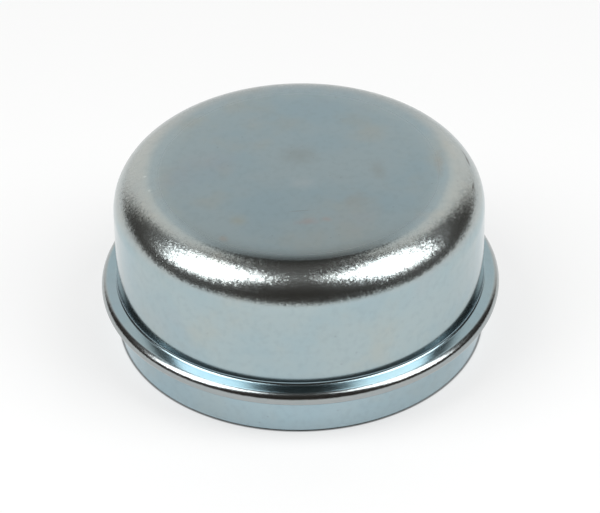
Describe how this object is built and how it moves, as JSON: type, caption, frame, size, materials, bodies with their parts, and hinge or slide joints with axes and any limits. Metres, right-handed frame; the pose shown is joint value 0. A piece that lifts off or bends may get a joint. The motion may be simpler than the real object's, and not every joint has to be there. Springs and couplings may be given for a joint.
{
  "type": "hub dust cap",
  "caption": "Round pressed-steel dust cap with a closed crown, rounded shoulder and folded flange; its short skirt presses into a wheel hub to keep grease in and dirt out.",
  "frame": {"origin": "on the axis at the open rim, so that the cap stands on the ground plane", "axes": "+Z along the axis from the open rim to the closed crown; X and Y are alike"},
  "size_m": [0.0604, 0.0604, 0.0274],
  "materials": {
    "zinc_plate": "bright zinc plate with a clear blue passivate on drawn sheet steel"
  },
  "bodies": {
    "root": {"dust_cap": "zinc_plate"}
  },
  "joints": []
}
